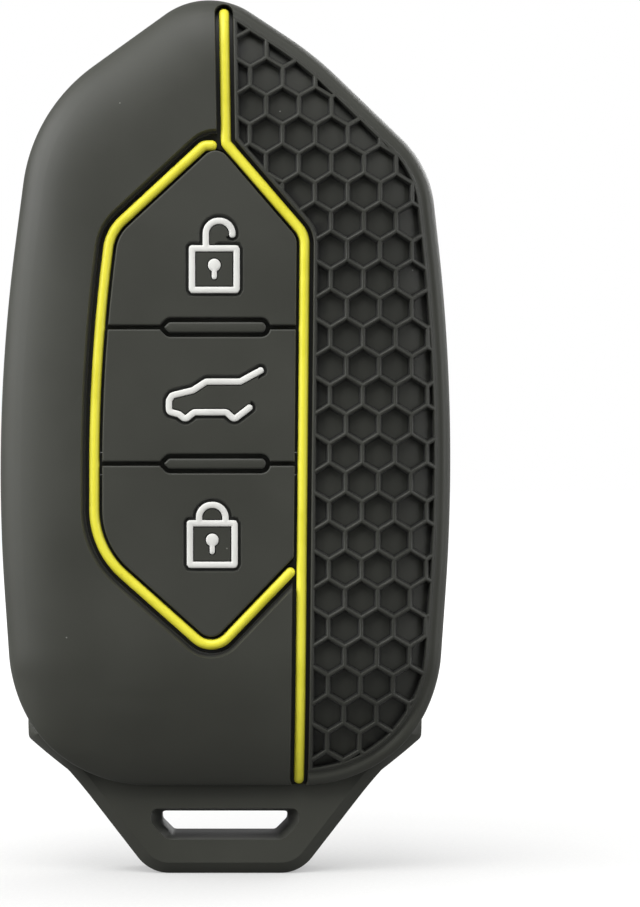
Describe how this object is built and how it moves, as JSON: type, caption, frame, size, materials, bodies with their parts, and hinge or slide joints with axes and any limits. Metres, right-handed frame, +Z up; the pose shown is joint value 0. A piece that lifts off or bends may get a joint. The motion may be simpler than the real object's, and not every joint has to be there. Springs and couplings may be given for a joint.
{
  "type": "key fob cover",
  "caption": "Black silicone cover for a car key fob with press pads, bright accent lines, a honeycomb side panel, an open rear window and a slotted key ring tab.",
  "frame": {"origin": "under the middle of the key ring tab, on the surface that the cover stands on", "axes": "+Z up along the cover's length, -Y out of the front with the press pads, +X to the right of someone facing the front"},
  "size_m": [0.0447, 0.018, 0.0869],
  "materials": {
    "black_silicone": "matte moulded",
    "yellow_silicone": "satin inlay",
    "white_silicone": "satin inlay"
  },
  "bodies": {
    "cover": {"front_skin": "black_silicone", "rear_skin": "black_silicone", "keyring_tab": "black_silicone", "honeycomb_panel": "black_silicone", "long_accent_line": "yellow_silicone", "ring_accent_line": "yellow_silicone", "upper_divider": "black_silicone", "lower_divider": "black_silicone"},
    "unlock_button": {"unlock_pad": "black_silicone", "unlock_icon": "white_silicone", "unlock_keyhole": "white_silicone"},
    "tailgate_button": {"tailgate_pad": "black_silicone", "tailgate_icon": "white_silicone"},
    "lock_button": {"lock_pad": "black_silicone", "lock_icon": "white_silicone", "lock_keyhole": "white_silicone"}
  },
  "joints": [
    {"name": "unlock_press", "type": "slide", "parent": "cover", "child": "unlock_button", "axis": [0, 1, 0], "range_m": [0, 0.0006], "stiffness_N_per_m": 1500},
    {"name": "tailgate_press", "type": "slide", "parent": "cover", "child": "tailgate_button", "axis": [0, 1, 0], "range_m": [0, 0.0006], "stiffness_N_per_m": 1500},
    {"name": "lock_press", "type": "slide", "parent": "cover", "child": "lock_button", "axis": [0, 1, 0], "range_m": [0, 0.0006], "stiffness_N_per_m": 1500}
  ]
}
